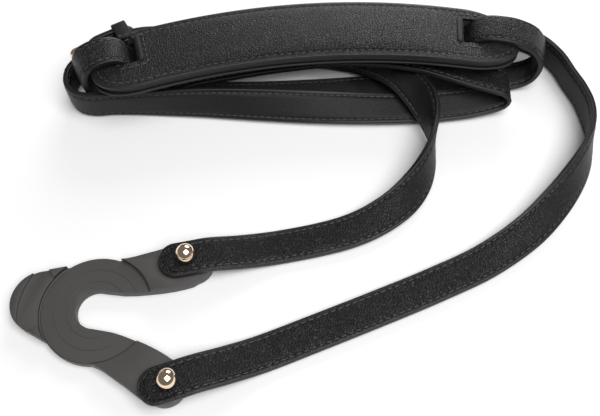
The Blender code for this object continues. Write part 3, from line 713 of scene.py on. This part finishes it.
u, v, _ = padRings(0.0, (0, 3.0))
u, v = np.append(u[1], u[1][0]), np.append(v[1], v[1][0])
bowed = padMake["bow"] * (1 - (u / padMake["halfLength"]) ** 2)
outlineRow = np.stack([padMake["middle"] + u, padMake["endsAt"] + bowed + padMake["skew"] * u + v], axis=-1)
slotRows, lips = [], []
for x, y, turn, inner in padMake["slots"]:
    c, s = math.cos(math.radians(turn)), math.sin(math.radians(turn))
    a, b = padMake["slotLength"] / 2, padMake["slotWidth"] / 2
    around = [(-inner * (a - 1), -b - 2.6)] + [(inner * (a + 4.2), -b - 2.6), (inner * (a + 4.2), b + 2.6)]
    around += [(-inner * (a - 1), b + 2.6)]
    slotRows.append(np.array([(x + p * c - q * s, y + p * s + q * c) for p, q in around]))
    lips.append((x, y, c, s, inner, a, b))
padStitches("pad_stitches", [outlineRow] + slotRows)

for k, (x, y, c, s, inner, a, b) in enumerate(lips):      # a smooth raised lip where the strap comes up
    bend, run = np.radians(np.linspace(0, 360, 25)), np.linspace(-1, 1, 15)
    taper = np.sqrt(np.clip(1 - np.abs(run) ** 8, 0, 1))[:, None]
    p = inner * (a + 1.55 + 1.4 * np.cos(bend)[None, :] * taper)
    q = (b + 0.6) * run[:, None] + 0 * p
    lift = 0.62 * np.sin(bend)[None, :] * taper
    ground = padSurface(x + p * c - q * s, y + p * s + q * c)
    ground[..., 2] += lift * 0.001 + 0.0001
    lip = gridPiece("slot_lip_%d" % k, ground)
    finishPiece(lip, finishes["lining"], "strap_assembly", sharp=60)


hookMake = {
    "plate": 6.0, "seat": 4.0, "tongue": 5.0, "seatRadius": 22.8, "disc": 22.4, "slot": 8.2,
    "armEnd": (34.5, 25.5), "armRadius": 8.2, "bevel": 0.35,
    "rings": ((12.0, 0.22), (17.0, 0.22), (22.35, 0.5)),      # radius and depth of each groove in the seat
}


def hookSpots(outline):
    turn = math.radians(layout["hookTurn"])
    c, s = math.cos(turn), math.sin(turn)
    return [(layout["hook"][0] + x * c - y * s, layout["hook"][1] + x * s + y * c) for x, y in outline]


def makeHook():
    m = hookMake
    half = arc((-21.5, 0), 13.2, 180, 105, 14)
    half += arc((0, 0), m["disc"], 134, 80, 22)
    half += [(7.3, 22.9), (10.5, 24.2), (14.7, 26.2), (19.0, 28.2), (25.5, 31.6)]
    half += arc(m["armEnd"], m["armRadius"], 112, -62, 28)
    half += [(36.2, 16.4), (32.6, 14.7), (29.0, 13.3), (24.0, 11.7), (19.0, 10.4), (14.0, 9.2), (9.0, 8.4)]
    half += arc((0, 0), m["slot"], 84, 180, 24)
    outline = half + [(x, -y) for x, y in reversed(half[1:-1])]
    plate = slabFrom("hook_moulding", hookSpots(outline), 0, m["plate"])
    tools = [rodTool(layout["hook"], m["seatRadius"], m["seat"], m["plate"] + 3, 144)]
    wedge = arc((0, 0), 31.0, 148, 212, 40) + [(-10, 0)]
    tools.append(slabFrom("tongue_tool", hookSpots(wedge), m["tongue"], m["plate"] + 3))
    for letter in ("a", "b"):
        tools.append(rodTool(layout["studs"][letter], 1.9, -1, m["plate"] + 3))
        tools.append(rodTool(layout["studs"][letter], 4.4, -1, 1.8))
    for tool in tools:
        cutAway(plate, tool)
        removeTool(tool)
    applyModifier(plate, "BEVEL", width=m["bevel"] * 0.001, segments=3, limit_method="ANGLE",
                  angle_limit=math.radians(38))
    for radius, groove in m["rings"]:
        bpy.ops.mesh.primitive_torus_add(location=place((*layout["hook"], m["seat"] + 0.05)),
                                         major_segments=144, minor_segments=12,
                                         major_radius=radius * 0.001, minor_radius=groove * 0.001)
        ring = bpy.context.active_object
        cutAway(plate, ring)
        removeTool(ring)
    return finishPiece(plate, finishes["nylon"], "strap_assembly", ("hook_plate",), sharp=35)


def lathe(name, spot, profile, sides=96):
    profile = np.array(profile, dtype=float)
    turn = np.radians(np.linspace(0, 360, sides + 1))
    x = spot[0] + profile[:, :1] * np.cos(turn)
    y = spot[1] + profile[:, :1] * np.sin(turn)
    z = profile[:, 1:] + 0 * x
    return gridPiece(name, place(np.stack([x, y, z], axis=-1)))


def makeStud(letter):
    spot = layout["studs"][letter]
    foot = layout["strapAtStuds"] + strapMake["outside"] + 0.3
    centre = foot + 3.4
    profile = [(4.0 * math.sin(math.radians(a)), centre + 4.0 * math.cos(math.radians(a)))
               for a in range(0, 133, 4)]
    profile += [(2.8, foot + 0.62), (2.86, foot + 0.5), (2.96, foot + 0.42), (3.0, foot + 0.32),
                (3.0, foot + 0.08), (2.94, foot), (1.8, foot), (1.8, 2.3), (1.6, 2.1), (0, 2.1)]
    stud = lathe("polished_stud_" + letter, spot, profile)
    finishPiece(stud, finishes["gold"], "stud_" + letter, ("ball_stud_" + letter,),
                sharp=50)
    screw = lathe("slotted_screw_" + letter, spot,
                  [(0, 1.8), (1.1, 1.8), (1.35, 1.72), (1.5, 1.5), (3.8, 1.5), (4.02, 1.42), (4.1, 1.2),
                   (4.1, 0.5), (4.03, 0.3), (3.85, 0.2), (0, 0.2)])
    blade = boxTool((spot[0], spot[1], 0.3), (9.0, 0.9, 1.0), 35)
    cutAway(screw, blade)
    removeTool(blade)
    finishPiece(screw, finishes["steel"], "strap_assembly", ("stud_screw_" + letter,), sharp=40)


makeHook()
for letter in ("a", "b"):
    makeStud(letter)
print("hook and studs made")


def makeFrame():
    m = buckleMake
    corner, barCorner = 2.4, 1.2
    path = []
    for sMid, zMid, reach, start in ((m["length"] - corner, m["halfHeight"] - corner, corner, 0),
                                     (barCorner, m["halfHeight"] - barCorner, barCorner, 90),
                                     (barCorner, barCorner - m["halfHeight"], barCorner, 180),
                                     (m["length"] - corner, corner - m["halfHeight"], corner, 270)):
        path += arc((sMid, zMid), reach, start, start + 90, 10)
    path = np.array(path)
    ahead = np.roll(path, -1, axis=0) - np.roll(path, 1, axis=0)
    ahead = ahead / np.linalg.norm(ahead, axis=1, keepdims=True)
    turn = np.radians(np.linspace(0, 360, 21))
    s = path[:, :1] + ahead[:, 1:] * m["wire"] * np.cos(turn)
    z = path[:, 1:] - ahead[:, :1] * m["wire"] * np.cos(turn)
    n = m["wire"] * np.sin(turn) + 0 * s
    spots = place(np.stack(buckleSpot(s, n, z), axis=-1))
    spots = np.concatenate([spots, spots[:1]])
    frameWire = gridPiece("buckle_wire_frame", spots)
    finishPiece(frameWire, finishes["gold"], "buckle", ("buckle_frame",), sharp=60)


def makeProng():
    inner, outer = buckleMake["wire"] + 0.3, buckleMake["wire"] + 1.4
    tip = buckleMake["length"] + 1.6
    outline = [(tip - 0.3, inner + 0.9), (tip, inner + 0.5), (tip - 0.3, inner + 0.05)]
    outline += arc((0, 0), inner, 70, 320, 40) + arc((0, 0), outer, 320, 75, 40)
    prong = buckleSlab("buckle_finger", outline, -1.1, 1.1)
    applyModifier(prong, "BEVEL", width=0.00028, segments=3, limit_method="ANGLE",
                  angle_limit=math.radians(40))
    finishPiece(prong, finishes["gold"], "prong", ("buckle_prong",))


def makeFold():
    inner, outer = buckleMake["wire"] + 0.3, buckleMake["wire"] + 1.3
    legIn, legOut = strapMake["outside"] + 0.3, strapMake["outside"] + 1.3
    end = -buckleMake["foldLength"]
    outline = [(end, legOut), (-3.5, legOut)] + arc((0, 0), outer, 100, -100, 40)
    outline += [(-3.5, -legOut), (end, -legOut), (end, -legIn), (-3.5, -legIn)]
    outline += arc((0, 0), inner, -100, 100, 40) + [(-3.5, legIn), (end, legIn)]
    fold = buckleSlab("buckle_leather_fold", outline, -7.2, 7.2)
    slotTool = buckleSlab("fold_slot", [(5, 5), (-3.2, 5), (-3.2, -5), (5, -5)], -1.7, 1.7)
    cutAway(fold, slotTool)
    removeTool(slotTool)
    applyModifier(fold, "BEVEL", width=0.00022, segments=2, limit_method="ANGLE",
                  angle_limit=math.radians(50))
    finishPiece(fold, finishes["lining"], "strap_assembly", ("buckle_fold",))
    middles, along, out = [], [], []
    turn = math.radians(buckleMake["turn"])
    outward, ahead = np.array([-math.sin(turn), math.cos(turn), 0.0]), np.array([0.0, 0.0, 1.0])
    for side in (1, -1):
        for s in (-3.9, -6.2):
            for z in np.arange(-5.2, 5.3, 2.6):
                middles.append(place(buckleSpot(s, side * (legOut + 0.02), z)))
                along.append(ahead)
                out.append(outward * side)
    stitchRow("fold_stitches", np.array(middles), np.array(along), np.array(out), finishes["thread"],
              "strap_assembly")


def makeKeeper():
    m = buckleMake
    play, wall = 0.45, 1.1
    low, high = -strapMake["outside"] - play, m["tailOffset"] + strapMake["outside"] + play
    half = strapMake["half"] + play
    middle, reach, corner = (low + high) / 2, (high - low) / 2, 0.9
    loop = []
    for sideN, sideZ, start in ((1, 1, 0), (-1, 1, 90), (-1, -1, 180), (1, -1, 270)):
        for a in np.radians(np.linspace(start, start + 90, 9)):
            loop.append((middle + sideN * (reach - corner), sideZ * (half - corner),
                         math.cos(a), math.sin(a)))
    loop = np.array(loop + loop[:1])
    along = m["keeperLength"] / 2
    edge = [(-along + 0.3, 0.0), (-along, 0.3), (-along, wall - 0.45), (-along + 0.13, wall - 0.13),
            (-along + 0.45, wall), (along - 0.45, wall), (along - 0.13, wall - 0.13), (along, wall - 0.45),
            (along, 0.3), (along - 0.3, 0.0), (-along + 0.3, 0.0)]
    edge = np.array(edge)
    s = -m["keeperFromBar"] + edge[None, :, 0] + 0 * loop[:, :1]
    n = loop[:, :1] + loop[:, 2:3] * (corner + edge[None, :, 1])
    z = loop[:, 1:2] + loop[:, 3:4] * (corner + edge[None, :, 1])
    band = gridPiece("keeper_band", place(np.stack(buckleSpot(s, n, z), axis=-1)))
    finishPiece(band, finishes["lining"], "keeper", ("keeper_loop",), sharp=60)


makeFrame()
makeProng()
makeFold()
makeKeeper()
print("buckle made")


studio = {"floor": (0.9, 0.9, 0.9), "world": 0.17, "overhead": 18.0, "overheadSize": 1.1,
          "overheadAt": (0.34, -0.28, 1.15), "side": 6.0, "sideAt": (0.2, 1.0, 0.42)}


def aimed(name, energy, size, spot):
    lamp = bpy.data.lights.new(name, "AREA")
    lamp.energy, lamp.size = energy, size
    holder = bpy.data.objects.new(name, lamp)
    holder.location = spot
    holder.rotation_euler = (-Vector(spot)).to_track_quat("-Z", "Y").to_euler()
    bpy.context.collection.objects.link(holder)


bpy.ops.mesh.primitive_plane_add(size=4.0, location=(0, 0, -0.0003))
floor = bpy.context.active_object
floor.name = "floor"
paper = bpy.data.materials.new("white_paper")
paper.use_nodes = True
paper.node_tree.nodes["Principled BSDF"].inputs["Base Color"].default_value = (*studio["floor"], 1.0)
paper.node_tree.nodes["Principled BSDF"].inputs["Roughness"].default_value = 0.8
paper.node_tree.nodes["Principled BSDF"].inputs["Specular IOR Level"].default_value = 0.1
floor.data.materials.append(paper)

world = bpy.data.worlds.new("studio")
world.use_nodes = True
world.node_tree.nodes["Background"].inputs["Color"].default_value = (1, 1, 1, 1)
world.node_tree.nodes["Background"].inputs["Strength"].default_value = studio["world"]
bpy.context.scene.world = world
aimed("overhead", studio["overhead"], studio["overheadSize"], studio["overheadAt"])
aimed("side", studio["side"], 0.6, studio["sideAt"])

lens = bpy.data.cameras.new("camera")
lens.lens = 42.0
lens.sensor_width = 36.0
viewer = bpy.data.objects.new("camera", lens)
viewer.location = (*place((0, 0, 0))[:2], 0.272)
viewer.rotation_euler = (math.radians(28), 0, 0)
bpy.context.collection.objects.link(viewer)
bpy.context.scene.camera = viewer
bpy.context.scene.view_settings.view_transform = "Standard"

print("scene ready")
